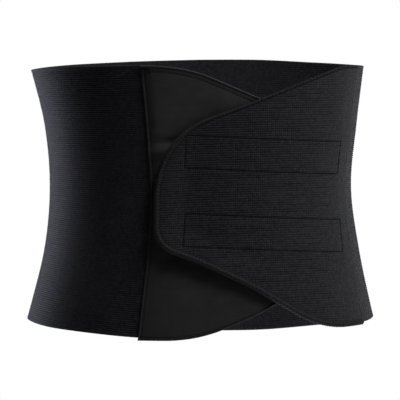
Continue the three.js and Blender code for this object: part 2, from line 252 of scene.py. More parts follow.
# Form of an overlocked edge: share of its width from the edge, and share of its full thickness there
BEAD_WIDTH_SHARE, BEAD_HEIGHT_SHARE = np.array([
    (0, 0.3), (0.2, 0.66), (0.4, 0.98), (0.5, 1), (0.75, 0.9), (1, 0.72),
]).T

random = np.random.default_rng(RANDOM_SEED)


def lerp(start, end, share):
    return start + (end - start) * share


def smoothstep(value, start, end):
    t = np.clip((value - start) / (end - start), 0, 1)
    return t * t * (3 - 2 * t)


def bell(value, middle, width):
    """Soft ridge of height 1 at the middle."""
    return np.exp(-(((value - middle) / width) ** 2))


def smooth_table(inputs, outputs, at):
    """Smooth values through a table whose inputs may be unevenly spaced."""
    steps = np.diff(inputs)
    slopes = np.diff(outputs) / steps
    inner = (slopes[:-1] * steps[1:] + slopes[1:] * steps[:-1]) / (steps[:-1] + steps[1:])
    tangents = np.concatenate((slopes[:1], inner, slopes[-1:]))
    index = np.clip(np.searchsorted(inputs, at) - 1, 0, len(steps) - 1)
    t = (at - inputs[index]) / steps[index]
    eased = t * t * (3 - 2 * t)
    leaving = t * (1 - t) ** 2 * tangents[index]
    arriving = t * t * (t - 1) * tangents[index + 1]
    return lerp(outputs[index], outputs[index + 1], eased) + (leaving + arriving) * steps[index]


def unit(vectors):
    return vectors / np.linalg.norm(vectors, axis=-1, keepdims=True)


def distances(path):
    """Distance along a path at each of its points."""
    steps = np.linalg.norm(np.diff(path, axis=0), axis=1)
    return np.concatenate(([0], np.cumsum(steps)))


def interpolate(at, inputs, rows):
    """Values between the rows of a table, for each of its columns."""
    return np.stack([np.interp(at, inputs, column) for column in rows.T], -1)


def leaning(place, middle, lean):
    """Distances of places from a middle, along a leaning line and across it."""
    right = place[..., 0] - middle[0]
    up = place[..., 1] - middle[1]
    cosine = math.cos(lean)
    sine = math.sin(lean)
    return right * cosine + up * sine, up * cosine - right * sine


# The torso's surface

def section_point(angle, height):
    """Point of the elastic's outer face in plan, at an angle from the front centre."""
    across = np.sin(angle)
    ahead = np.cos(angle)
    left, right, front, back = [smooth_table(SECTION_HEIGHT, half, height) for half in HALF_WIDTHS]
    wide = np.abs(across / np.where(across < 0, left, right)) ** SECTION_POWER
    deep = np.abs(ahead / np.where(ahead < 0, back, front)) ** SECTION_POWER
    radius = (wide + deep) ** (-1 / SECTION_POWER)
    return np.stack((radius * across, -radius * ahead), -1)


WAIST_STEPS = 2880
waist_angles = np.linspace(-np.pi, 3 * np.pi, WAIST_STEPS + 1)
waist_points = section_point(waist_angles, np.zeros(WAIST_STEPS + 1))
waist_distances = distances(waist_points)
waist_distances -= np.interp(0, waist_angles, waist_distances)
WAIST_LENGTH = np.interp(2 * np.pi, waist_angles, waist_distances)


def on_wall(place, offset):
    """Points outside the elastic's outer face by an offset.
    A place is a distance round the waist and a height."""
    nearby = 0.001
    height = place[..., 1]
    angle = np.interp(place[..., 0], waist_distances, waist_angles)
    point = section_point(angle, height)
    run = unit(section_point(angle + nearby, height) - section_point(angle - nearby, height))
    x = point[..., 0] + run[..., 1] * offset
    y = point[..., 1] - run[..., 0] * offset
    return np.stack((x, y, height), -1)


# Edges of the flap and panel

def resample(path, count):
    """Evenly spaced points along a path."""
    distance = distances(path)
    return interpolate(np.linspace(0, distance[-1], count), distance, path)


def edge_chain(corners, seam, direction):
    """Points along an edge through its corners, from the seam to the tip."""
    places = [np.array((seam + direction * along, up)) for along, up, _ in corners]
    path = [places[0]]
    for index in range(1, len(corners) - 1):
        corner = places[index]
        rounding = corners[index][2]
        start = corner + unit(places[index - 1] - corner) * rounding
        end = corner + unit(places[index + 1] - corner) * rounding
        for t in np.linspace(0, 1, CORNER_POINTS):
            path.append((1 - t) ** 2 * start + 2 * t * (1 - t) * corner + t * t * end)
    path.append(places[-1])
    return np.array(path)


class Edge:
    """Edge of a cloth that lies to the left of it."""

    def __init__(self, *chains):
        self.points = resample(np.vstack(chains), EDGE_POINTS)
        run = unit(np.gradient(self.points, axis=0))
        self.inward = np.stack((-run[:, 1], run[:, 0]), -1)
        self.shares = np.linspace(0, 1, EDGE_POINTS)
        self.length = distances(self.points)[-1]

    def place(self, share, inset):
        """Places at a share of the way along the edge, moved into the cloth by an inset."""
        inward = interpolate(share, self.shares, self.inward)
        return interpolate(share, self.shares, self.points) + inward * np.expand_dims(inset, -1)

    def nearest(self, place):
        """Distance from each place to the edge, and the share of the way along it."""
        flat = place.reshape(-1, 2)
        distance = np.empty(len(flat))
        index = np.empty(len(flat), int)
        for block in np.array_split(np.arange(len(flat)), len(flat) // NEAREST_BLOCK + 1):
            apart = np.linalg.norm(flat[block, None] - self.points, axis=2)
            index[block] = apart.argmin(1)
            distance[block] = apart.min(1)
        shape = place.shape[:-1]
        return distance.reshape(shape), self.shares[index].reshape(shape)


FLAP_RIM = Edge(edge_chain(FLAP_TOP, RIGHT_SEAM, -1), edge_chain(FLAP_BOTTOM, RIGHT_SEAM, -1)[-2::-1])
PANEL_UPPER = Edge(edge_chain(PANEL_TOP, LEFT_SEAM, 1)[::-1])
PANEL_LOWER = Edge(edge_chain(PANEL_BOTTOM, LEFT_SEAM, 1))


def panel_inner(place):
    """Height of the panel's inner face: over the end of the elastic at its seam, and then level with it."""
    along = place[..., 0]
    clear = smoothstep(np.abs(place[..., 1] - FLAP_MIDDLE), FLAP_PRESS_END, FLAP_PRESS_START)
    start = lerp(PANEL_STEP_START, PANEL_SLOPE_START, clear)
    step_down = smoothstep(along, start, start + lerp(PANEL_STEP_LENGTH, PANEL_SLOPE_LENGTH, clear))
    height = lerp(GAP, -ELASTIC_THICKNESS, step_down)
    for fold_along, fold_up, reach, width, lean, rise in PANEL_FOLDS:
        lengthwise, crosswise = leaning(place, (fold_along, fold_up), math.radians(lean))
        height = height + rise * np.exp(-((lengthwise / reach) ** 2 + (crosswise / width) ** 2))
    return height


def flap_inner(place):
    """Height of the flap's inner face, which rises over the panel's seam and stands off along its edge."""
    distance, share = FLAP_RIM.nearest(place)
    lift = smooth_table(FREE_EDGE_SHARE, STAND_OFF, share)
    stand_off = lift * (1 - smoothstep(distance, 0, STAND_OFF_REACH))
    from_seam = smoothstep(RIGHT_SEAM - place[..., 0], SEAM_OVERLAP, 2 * SEAM_OVERLAP)
    over_seam = smoothstep(-place[..., 0], TIP_RISE_START, TIP_RISE_END)
    return lerp(lerp(GAP, FLAP_SEAT, from_seam), TIP_SEAT, over_seam) + stand_off


def bowed(place):
    """Places of the panel, moved where its seam bows."""
    along, up = place[..., 0], place[..., 1]
    turned = np.hypot(up - SEAM_BOW_MIDDLE, SEAM_BOW_ROUNDING) - SEAM_BOW_ROUNDING
    near_seam = 1 - smoothstep(along - LEFT_SEAM, 0, SEAM_BOW_REACH)
    return np.stack((along + (SEAM_BOW - SEAM_BOW_LEAN * turned) * near_seam, up), -1)


# Meshes

def rounded(distance, thickness):
    """Half the thickness of a cloth at a distance from its rounded edge."""
    short = 1 - np.clip(distance / (thickness / 2), 0, 1)
    return thickness / 2 * np.sqrt(1 - short ** 2)


def spaced(length, step):
    """Positions from 0 to a length, with close ones at both ends where the cloth is rounded."""
    even = np.linspace(0, length, round(length / step) + 1)
    return np.unique(np.concatenate((even, EDGE_STEPS, length - EDGE_STEPS)))


def rib_profile(phase):
    return np.abs(np.sin(np.pi * phase)) ** RIB_ROUNDNESS


def bead_height(width_share):
    """Height of an overlocked edge as a share of its full thickness."""
    return np.interp(width_share, BEAD_WIDTH_SHARE, BEAD_HEIGHT_SHARE)


def flap_bead(share):
    """Width and full thickness of the flap's overlocked edge, by share of the way round it."""
    width = smooth_table(FREE_EDGE_SHARE, FLAP_EDGING_WIDTH, share)
    return width, FLAP_THICKNESS + smooth_table(FREE_EDGE_SHARE, FLAP_EDGING_PROUD, share)


def panel_bead(share):
    """Width and full thickness of the panel's overlocked edge."""
    return np.full(len(share), PANEL_EDGING_WIDTH), PANEL_THICKNESS + PANEL_EDGING_PROUD


def uneven_ribs(phase, along):
    """Strength of each rib along its length, the same for all the rows of a rib."""
    rib = np.floor(phase - phase.min()).astype(int)[:, None]
    position = (along - along.min()) / RIB_CHANGE
    before = np.floor(position).astype(int)
    strength = random.standard_normal((rib.max() + 1, before.max() + RIB_BLEND + 2))
    neighbours = [strength[:, shift:shift - RIB_BLEND] for shift in range(RIB_BLEND)]
    strength = sum(neighbours) / math.sqrt(RIB_BLEND)
    return 1 + RIB_UNEVENNESS * lerp(strength[rib, before], strength[rib, before + 1], position - before)


def rib_share(along):
    """Share of the ribs' depth that is left beside the flap's seam, where they are pulled flat."""
    return 1 - SEAM_PULL * bell(along, RIGHT_SEAM, SEAM_PULL_REACH)


def rib_painted_shade(rib, along):
    """Painted shade of the yarns between the ribs against those on them, for the shade that falls in the
    valleys.
    """
    return 1 - (1 - RIB_VALLEY_SHADE) * (1 - rib) * rib_share(along)


def new_object(name, data):
    made = bpy.data.objects.new(name, data)
    scene.collection.objects.link(made)
    return made


def add_piece(name, points, faces, uv_maps, material):
    """Smooth mesh object from points in millimetres, with each map's corners in the order of the faces."""
    mesh = bpy.data.meshes.new(name)
    mesh.from_pydata((points * MM).tolist(), [], faces.tolist())
    for map_name, corners in uv_maps.items():
        layer = mesh.uv_layers.new(name=map_name)
        layer.data.foreach_set("uv", np.ascontiguousarray(corners, np.float32).ravel())
    mesh.polygons.foreach_set("use_smooth", np.ones(len(faces), bool))
    mesh.materials.append(material)
    made = new_object(name, mesh)
    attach(made, "root")
    return made


def make_cloth(name, place, outer, inner, tone_and_painted_light, pattern, material):
    """Closed cloth from the offsets of its two faces over a grid of places. The faces meet along the border.
    Each point's tone is given with the painted shade and painted highlights in it, and the pattern is the
    point's place in the weave."""
    rows, columns = outer.shape
    grid = np.arange(rows * columns).reshape(rows, columns)
    front = np.stack((grid[:-1, :-1], grid[:-1, 1:], grid[1:, 1:], grid[1:, :-1]), -1).reshape(-1, 4)
    faces = np.concatenate((front, front[:, ::-1] + grid.size))
    points = np.concatenate((on_wall(place, outer).reshape(-1, 3), on_wall(place, inner).reshape(-1, 3)))
    up, across = np.meshgrid(np.linspace(0, 1, rows), np.linspace(0, 1, columns), indexing="ij")
    sheet_across = lerp(SHEET_MARGIN, 1 - SHEET_MARGIN, across)
    sheet_up = lerp(0.5 + SHEET_MARGIN, 1 - SHEET_MARGIN, up)
    front_sheet = np.stack((sheet_across, sheet_up), -1).reshape(-1, 2)
    sheet = np.concatenate((front_sheet, front_sheet - (0, 0.5)))
    pattern = np.tile(pattern.reshape(-1, 2), (2, 1)) * MM
    corner = faces.ravel()
    made = add_piece(name, points, faces, {"OFBake": sheet[corner], "Pattern": pattern[corner]}, material)
    inner_tone_and_painted_light = lerp(tone_and_painted_light.mean(), tone_and_painted_light, INNER_RIBS)
    all_tones_and_painted_light = np.concatenate((tone_and_painted_light.ravel(), inner_tone_and_painted_light.ravel()))
    attribute = made.data.attributes.new("tone_and_painted_light", "FLOAT", "POINT")
    attribute.data.foreach_set("value", all_tones_and_painted_light.astype(np.float32))
    work = bmesh.new()
    work.from_mesh(made.data)
    bmesh.ops.remove_doubles(work, verts=work.verts, dist=WELD_DISTANCE)
    work.to_mesh(made.data)
    work.free()
    return made


def thread_rings(paths, radius, sides):
    """Rings of points round paths, which are threads by steps by 3. The rings don't turn along a thread."""
    slanted = (0.3, 0.5, 0.8)  # a direction in which no thread starts
    run = unit(np.gradient(paths, axis=1))
    side = np.empty_like(paths)
    side[:, 0] = unit(np.cross(run[:, 0], slanted))
    for step in range(1, paths.shape[1]):
        carried = side[:, step - 1]
        along = (carried * run[:, step]).sum(1, keepdims=True)
        side[:, step] = unit(carried - run[:, step] * along)
    other = np.cross(run, side)
    turn = (np.arange(sides) * 2 * np.pi / sides)[:, None]
    ring = side[:, :, None] * np.cos(turn) + other[:, :, None] * np.sin(turn)
    return paths[:, :, None] + radius * ring


def make_threads(name, groups, radius, material, sides=THREAD_SIDES):
    """Round threads with closed ends. A group is an array of paths, which are threads by steps by 3."""
    segments = sum(len(paths) * (paths.shape[1] - 1) for paths in groups)
    cells_across = math.ceil(math.sqrt(segments))
    cells_up = math.ceil(segments / cells_across)
    points, faces, sheet, pattern = [], [], [], []
    first_point = 0
    first_segment = 0
    for paths in groups:
        threads, steps = paths.shape[:2]
        points.append(thread_rings(paths, radius, sides).reshape(-1, 3))
        ring = first_point + np.arange(threads * steps * sides).reshape(threads, steps, sides)
        turned = np.roll(ring, -1, axis=2)
        walls = np.stack((ring[:, :-1], turned[:, :-1], turned[:, 1:], ring[:, 1:]), -1).reshape(-1, 4)
        length = np.cumsum(np.linalg.norm(np.diff(paths, axis=1, prepend=paths[:, :1]), axis=2), axis=1)
        # Each stretch of thread has its own cell, with its sides one above the other
        segment = first_segment + np.arange(threads * (steps - 1))
        cell = np.stack((segment % cells_across, segment // cells_across), -1)[:, None, None]
        corner_run = np.array((0, 0, 1, 1))
        corner_side = (np.arange(sides)[:, None] + np.array((0, 1, 1, 0))) / sides
        inside = np.stack((np.broadcast_to(corner_run, corner_side.shape), CELL_SHARE * corner_side), -1)
        sheet.append(((cell + inside) / (cells_across, cells_up)).reshape(-1, 2))
        ends = np.stack((length[:, :-1], length[:, 1:]), -1).reshape(-1, 2)
        along = np.repeat(ends[:, None, corner_run], sides, axis=1)
        round_share = np.broadcast_to(corner_side, along.shape)
        pattern.append(np.stack((along * MM, round_share * MM), -1).reshape(-1, 2))
        faces.append(walls)
        fan = [(0, k, k + 1, k + 2) for k in range(1, sides - 2, 2)]
        caps = np.concatenate([ring[:, -1][:, fan], ring[:, 0][:, [corner[::-1] for corner in fan]]], axis=1)
        faces.append(caps.reshape(-1, 4))
        sheet.append(np.repeat(cell[:1, 0] / (cells_across, cells_up), caps.size, axis=0).reshape(-1, 2))
        pattern.append(np.zeros((caps.size, 2)))
        first_point += ring.size
        first_segment += threads * (steps - 1)
    uv_maps = {"OFBake": np.concatenate(sheet), "Pattern": np.concatenate(pattern)}
    return add_piece(name, np.concatenate(points), np.concatenate(faces), uv_maps, material)


# Materials

def add_node(tree, kind, inputs=(), **settings):
    """New shader node. An input takes a value or another node's output."""
    node = tree.nodes.new(kind)
    for key, value in settings.items():
        setattr(node, key, value)
    for key, value in dict(inputs).items():
        if isinstance(value, bpy.types.NodeSocket):
            tree.links.new(value, node.inputs[key])
        else:
            node.inputs[key].default_value = value
    return node


def calculate(tree, operation, *values):
    return add_node(tree, "ShaderNodeMath", enumerate(values), operation=operation).outputs[0]


def noise(tree, place, size, detail=3.0, stretch=(1, 1, 1)):
    """Noise whose lumps have a size in the units of the place."""
    scaled = add_node(tree, "ShaderNodeVectorMath", {0: place, 1: stretch}, operation="MULTIPLY").outputs[0]
    inputs = {"Vector": scaled, "Scale": 1 / size, "Detail": detail, "Roughness": 0.6}
    return add_node(tree, "ShaderNodeTexNoise", inputs).outputs["Fac"]


def scaled_noise(tree, amount, low, high):
    """Noise with its usual spread stretched to reach from low to high."""
    inputs = {"Value": amount, "From Min": 0.32, "From Max": 0.68, "To Min": low, "To Max": high}
    return add_node(tree, "ShaderNodeMapRange", inputs).outputs["Result"]


def value_between(tree, amount, low, high):
    """Value from low to high as the amount goes from 0 to 1."""
    return calculate(tree, "MULTIPLY_ADD", amount, high - low, low)


def mixture(tree, first, second, first_share):
    """Two values added up, with the share that the first one has."""
    rest = calculate(tree, "MULTIPLY", second, 1 - first_share)
    return calculate(tree, "MULTIPLY_ADD", first, first_share, rest)


def blend(tree, amount, dark, light):
    """Colour from dark to light as the amount goes from 0 to 1."""
    ramp = add_node(tree, "ShaderNodeValToRGB", {"Fac": amount})
    ramp.color_ramp.elements[0].color = (*dark, 1)
    ramp.color_ramp.elements[1].color = (*light, 1)
    return ramp.outputs["Color"]


def pattern_place(tree):
    """Place on a cloth in millimetres, or along and round a thread."""
    pattern = add_node(tree, "ShaderNodeUVMap", uv_map="Pattern").outputs["UV"]
    scale = (1 / MM, 1 / MM, 1 / MM)
    return add_node(tree, "ShaderNodeVectorMath", {0: pattern, 1: scale}, operation="MULTIPLY").outputs[0]


def start_material(name, sheen, sheen_roughness, specular):
    material = bpy.data.materials.new(name)
    material.use_nodes = True
    shader = material.node_tree.nodes["Principled BSDF"]
    shader.inputs["Sheen Weight"].default_value = sheen
    shader.inputs["Sheen Roughness"].default_value = sheen_roughness
    shader.inputs["Sheen Tint"].default_value = (0.9, 0.92, 1.0, 1)
    shader.inputs["Specular IOR Level"].default_value = specular
    return material, material.node_tree, shader


def finish_material(tree, shader, colour, roughness, height, relief):
    """Connects colour, roughness and a bump whose height from 0 to 1 stands for a relief in millimetres."""
    bump = add_node(tree, "ShaderNodeBump", {"Height": height, "Strength": 1.0, "Distance": relief * MM})
    tree.links.new(colour, shader.inputs["Base Color"])
    tree.links.new(roughness, shader.inputs["Roughness"])
    tree.links.new(bump.outputs["Normal"], shader.inputs["Normal"])


def elastic_material():
    """Ribs crossed by columns of yarns of uneven tone, with a little fuzz."""
    yarn_pitch = 1.7
    yarn_wander = 0.8  # of that pitch
    yarn_contrast = 0.6
    material, tree, shader = start_material("ribbed_elastic", sheen=0.12, sheen_roughness=0.6, specular=0.08)
    place = pattern_place(tree)
    tone_and_painted_light = add_node(tree, "ShaderNodeAttribute", attribute_name="tone_and_painted_light").outputs["Fac"]
    parts = add_node(tree, "ShaderNodeSeparateXYZ", {0: place})
    rib = calculate(tree, "FLOOR", calculate(tree, "DIVIDE", parts.outputs["Y"], BODY_RIB_PITCH))
    wander = calculate(tree, "MULTIPLY", noise(tree, place, size=7.0), yarn_wander)
    column = calculate(tree, "ADD", calculate(tree, "DIVIDE", parts.outputs["X"], yarn_pitch), wander)
    cell = add_node(tree, "ShaderNodeCombineXYZ", {0: calculate(tree, "FLOOR", column), 1: rib}).outputs[0]
    cell_noise = add_node(tree, "ShaderNodeTexWhiteNoise", {"Vector": cell}, noise_dimensions="2D")
    yarn = calculate(tree, "ABSOLUTE", calculate(tree, "SINE", calculate(tree, "MULTIPLY", column, math.pi)))
    fuzz = noise(tree, place, size=0.7, detail=4.0)
    grain = noise(tree, place, size=1.9, detail=2.0)
    cloud = noise(tree, place, size=20.0, detail=2.0)
    # The tone from the mesh brings painted shade in the rib valleys and along the flap's sewn lines
    woven = calculate(tree, "MULTIPLY", tone_and_painted_light, value_between(tree, yarn, low=0.65, high=0.9))
    grain_tone = value_between(tree, grain, low=0.25, high=0.65)
    uneven = calculate(tree, "MULTIPLY_ADD", cell_noise.outputs["Value"], yarn_contrast, grain_tone)
    tone = calculate(tree, "MULTIPLY", woven, uneven)
    tone = calculate(tree, "MULTIPLY", tone, value_between(tree, cloud, low=0.75, high=1.25))
    colour = blend(tree, tone, dark=(0.0015, 0.0015, 0.0018), light=(0.031, 0.031, 0.0378))
    height = mixture(tree, yarn, fuzz, first_share=0.4)
    roughness = value_between(tree, fuzz, low=0.62, high=0.95)
    finish_material(tree, shader, colour, roughness, height, relief=0.26)
    return material


def loop_material():
    """Smooth brushed loops with faint streaks, times the tone from the mesh: darker under the upper hem, with
    painted shade by the seam and in the stitch grooves, a painted highlight on the seam's ridge and painted
    light by height.
    """
    material, tree, shader = start_material("loop_cloth", sheen=0.2, sheen_roughness=0.5, specular=0.15)
    place = pattern_place(tree)
    pile_tone_and_painted_light = add_node(tree, "ShaderNodeAttribute", attribute_name="tone_and_painted_light").outputs["Fac"]
    loops = noise(tree, place, size=0.6, detail=4.0)
    streaks = noise(tree, place, size=5.0, stretch=(0.25, 1, 1))
    patches = scaled_noise(tree, noise(tree, place, size=10.0, detail=2.0), low=0.87, high=1.13)
    tone = mixture(tree, loops, streaks, first_share=0.75)
    tone = calculate(tree, "MULTIPLY", calculate(tree, "MULTIPLY", tone, patches), pile_tone_and_painted_light)
    colour = blend(tree, tone, dark=(0.004, 0.004, 0.004), light=(0.05, 0.05, 0.0505))
    roughness = value_between(tree, loops, low=0.8, high=1.0)
    finish_material(tree, shader, colour, roughness, loops, relief=0.2)
    return material


def thread_material(name, dark, light, sheen, specular):
    """Two-ply thread, with its twist."""
    twist_pitch = 0.9
    material, tree, shader = start_material(name, sheen, sheen_roughness=0.4, specular=specular)
    place = pattern_place(tree)
    parts = add_node(tree, "ShaderNodeSeparateXYZ", {0: place})
    turns = calculate(tree, "MULTIPLY_ADD", parts.outputs["X"], 1 / twist_pitch, parts.outputs["Y"])
    ply = calculate(tree, "SINE", calculate(tree, "MULTIPLY", turns, 2 * math.pi))
    ply = calculate(tree, "MULTIPLY_ADD", ply, 0.5, 0.5)
    fuzz = noise(tree, place, size=0.3)
    uneven = scaled_noise(tree, noise(tree, place, size=9.0, detail=2.0), low=0.6, high=1.4)
    tone = mixture(tree, ply, fuzz, first_share=0.5)
    colour = blend(tree, calculate(tree, "MULTIPLY", tone, uneven), dark, light)
    roughness = value_between(tree, fuzz, low=0.5, high=0.8)
    finish_material(tree, shader, colour, roughness, tone, relief=0.12)
    return material


def hook_material():
    """Dense field of small hooks."""
    hook_pitch = 1.1
    hook_shade = 0.5
    material, tree, shader = start_material("hook_tape", sheen=0.05, sheen_roughness=0.4, specular=0.4)
    place = add_node(tree, "ShaderNodeTexCoord").outputs["Object"]
    inputs = {"Vector": place, "Scale": 1 / (hook_pitch * MM)}
    hooks = add_node(tree, "ShaderNodeTexVoronoi", inputs).outputs["Distance"]
    fuzz = noise(tree, place, size=0.4 * MM)
    tone = calculate(tree, "SUBTRACT", fuzz, calculate(tree, "MULTIPLY", hooks, hook_shade))
    colour = blend(tree, tone, dark=(0.006, 0.006, 0.0065), light=(0.02, 0.02, 0.022))
    roughness = value_between(tree, fuzz, low=0.4, high=0.7)
    finish_material(tree, shader, colour, roughness, hooks, relief=-0.4)
    return material


def floor_material():
    material, tree, shader = start_material("pale_floor", sheen=0.0, sheen_roughness=0.5, specular=0.3)
    place = add_node(tree, "ShaderNodeTexCoord").outputs["Object"]
    cloud = noise(tree, place, size=0.4)
    colour = blend(tree, cloud, dark=(0.78, 0.78, 0.78), light=(0.84, 0.84, 0.84))
    roughness = value_between(tree, cloud, low=0.7, high=0.9)
    finish_material(tree, shader, colour, roughness, cloud, relief=0.1)
    return material


ELASTIC = elastic_material()
LOOP = loop_material()
# Threads by their darkest and lightest colour, sheen and specular level
EDGE_THREAD = thread_material("edge_thread", (0.005, 0.005, 0.006), (0.024, 0.024, 0.0275), 0.07, 0.2)
HEM_THREAD = thread_material("hem_thread", (0.004, 0.004, 0.0045), (0.021, 0.021, 0.0235), 0.05, 0.15)
ROLL_THREAD = thread_material("roll_thread", (0.008, 0.008, 0.009), (0.05, 0.05, 0.056), 0.15, 0.3)
STITCH_THREAD = thread_material("stitch_thread", (0.003, 0.003, 0.0035), (0.012, 0.012, 0.0135), 0.02, 0.1)
HOOK = hook_material()


# Cloth pieces

def make_body():
    """Ribbed elastic from the right seam round the back to the left seam."""
    start = RIGHT_SEAM - SEAM_OVERLAP
    end = LEFT_SEAM + SEAM_OVERLAP + WAIST_LENGTH
    along = start + spaced(end - start, BODY_COLUMN)
    angle = np.interp(along, waist_distances, waist_angles)
    degrees = np.degrees((angle + np.pi) % (2 * np.pi) - np.pi)
    bottom = smooth_table(RIM_ANGLE, RIM_BOTTOM, degrees)
    top = smooth_table(RIM_ANGLE, RIM_TOP, degrees)
    total = BODY_RIBS * BODY_RIB_PITCH
    up = spaced(total, BODY_RIB_PITCH / ROWS_PER_RIB)
    height = lerp(bottom, top, (up / total)[:, None])
    place = np.stack((np.broadcast_to(along, height.shape), height), -1)
    from_rim = np.minimum(up, total - up)[:, None]
    from_end = np.minimum(along - start, end - along)
    half = rounded(np.minimum(from_rim, from_end), ELASTIC_THICKNESS)
    ribbed = smoothstep(from_rim, SELVEDGE_END, SELVEDGE_START) * smoothstep(from_end, 0, SELVEDGE_START)
    phase = up / BODY_RIB_PITCH
    rib = rib_profile(phase)[:, None]
    recess = BODY_RIB_DEPTH * (1 - rib) * ribbed * rib_share(along) * uneven_ribs(phase, along[None])
    middle = -ELASTIC_THICKNESS / 2
    # The tone holds painted shade in the rib valleys, and the plain selvedge tone near the rims and ends
    tone_and_painted_light = lerp(SELVEDGE_TONE, rib_painted_shade(rib, along), ribbed)
    pattern = np.stack(np.broadcast_arrays(along, up[:, None]), -1)
    inner = middle - half + INNER_RIBS * recess
    return make_cloth("ribbed_body", place, middle + half - recess, inner, tone_and_painted_light, pattern, ELASTIC)


def rib_arch(along):
    """Height of a rib of the flap against its highest point."""
    return -RIB_DROP * ((along - RIB_CREST_PLACE) / RIB_DROP_REACH) ** 2


def strip_distance(place):
    """Distance from a stitched rectangle's line, which is negative inside the nearest rectangle."""
    nearest = np.full(place.shape[:-1], np.inf)
    for middle in STRIP_MIDDLES:
        lengthwise, crosswise = leaning(place, middle, STRIP_LEAN)
        past_ends = np.abs(lengthwise) - STITCHED_LENGTH / 2
        past_sides = np.abs(crosswise) - STITCHED_WIDTH / 2
        nearest = np.minimum(nearest, np.maximum(past_ends, past_sides))
    return nearest


def make_flap():
    """Ribbed flap, in rows that follow its ribs from one side of its outline to the other."""
    cloth_inset = 1.0
    row_step = FLAP_RIB_PITCH / ROWS_PER_RIB
    outline = FLAP_RIM.place(FLAP_RIM.shares, cloth_inset)
    outline = np.vstack((outline, outline[:1]))
    level = outline[:, 1] - rib_arch(outline[:, 0])
    rows = np.arange(math.ceil(level.min() / row_step), math.floor(level.max() / row_step) + 1) * row_step
    rise = np.diff(level)
    share = (rows[:, None] - level[:-1]) / np.where(rise == 0, 1, rise)
    crossing = lerp(outline[:-1, 0], outline[1:, 0], share)
    crosses = (share >= 0) & (share <= 1)
    starts = np.where(crosses, crossing, np.inf).min(1)
    ends = np.where(crosses, crossing, -np.inf).max(1)
    fixed = [np.arange(RIGHT_SEAM - FLAP_COLUMNS_REACH, RIGHT_SEAM + FLAP_COLUMNS_SPARE, FLAP_COLUMN)]
    # The ends of the two stitched rectangles are close enough to share their fine columns
    for side in (-0.5, 0.5):
        line = STRIP_MIDDLES[0][0] + side * STITCHED_LENGTH
        fixed.append(np.arange(line - FINE_REACH, line + FINE_REACH, FINE_COLUMN))
    fixed = np.concatenate(fixed)
    bead_steps = np.concatenate((EDGE_STEPS, (1.6, 2.3, 3, 3.7, 4.4, 5.2, 6.2)))
    seam_steps = np.concatenate((EDGE_STEPS, (1.4, 1.9, 2.35, 2.8, 3.4, 4.6)))
    along = []
    for start, end in zip(starts, ends):
        columns = np.concatenate((fixed, [start, end], start + bead_steps, end - seam_steps))
        along.append(np.sort(np.clip(columns, start, end)))
    along = np.array(along)
    place = np.stack((along, rows[:, None] + rib_arch(along)), -1)
    from_rim, rim_share = FLAP_RIM.nearest(place)
    from_edge = np.clip(from_rim - cloth_inset, 0, None)
    from_edge[[0, -1]] = 0
    from_seam = ends[:, None] - along
    from_border = np.minimum(np.minimum(from_edge, from_seam), along - starts[:, None])
    bead_width, bead_thickness = flap_bead(rim_share)
    edge_share = (from_edge + cloth_inset) / bead_width
    plain = smoothstep(edge_share, BEAD_END, RIBS_START)
    half = rounded(from_border, FLAP_THICKNESS)
    in_bead = 2 * (bead_height(edge_share) * bead_thickness - BEAD_COVER) / FLAP_THICKNESS - 1
    phase = rows / FLAP_RIB_PITCH
    rib = rib_profile(phase)[:, None]
    ribbed = smoothstep(from_border, FLAP_SELVEDGE_END, FLAP_SELVEDGE_START) * plain
    recess = FLAP_RIB_DEPTH * (1 - rib) * ribbed * rib_share(along) * uneven_ribs(phase, along)
    stitched = bell(strip_distance(place), 0, GROOVE_WIDTH)
    sewn = bell(from_seam, SEAM_STITCH_PLACE, GROOVE_WIDTH)
    relief = -STRIP_GROOVE * stitched - FLAP_SEAM_GROOVE * sewn
    middle = flap_inner(place) + FLAP_THICKNESS / 2
    outer = middle + half * lerp(in_bead, 1, plain) - recess + relief * ribbed
    inner = middle - half * lerp(BEAD_BACK, 1, plain) + INNER_RIBS * recess
    # Painted shade: darker in the grooves of the stitched rectangles and the seam, and beside the overlocked
    # edge at its needle line
    needled = NEEDLE_SHADE * bell(edge_share, NEEDLE_PLACE, NEEDLE_WIDTH)
    shaded = np.maximum(np.maximum(STRIP_SHADE * stitched, SEAM_SHADE * sewn), needled)
    tone_and_painted_light = lerp(BEAD_CLOTH_TONE, lerp(rib_painted_shade(rib, along), 0, shaded), plain)
    pattern = np.stack((along, np.broadcast_to(phase[:, None] * BODY_RIB_PITCH, along.shape)), -1)
    return make_cloth("ribbed_flap", place, outer, inner, tone_and_painted_light, pattern, ELASTIC)


def soft_waves(place):
    """Slow unevenness of a soft cloth, between about -1 and 1."""
    total = 0
    for length, direction, shift in PANEL_WAVES:
        distance = place[..., 0] * math.cos(direction) + place[..., 1] * math.sin(direction)
        total = total + np.sin(2 * np.pi * distance / length + shift) / len(PANEL_WAVES)
    return total


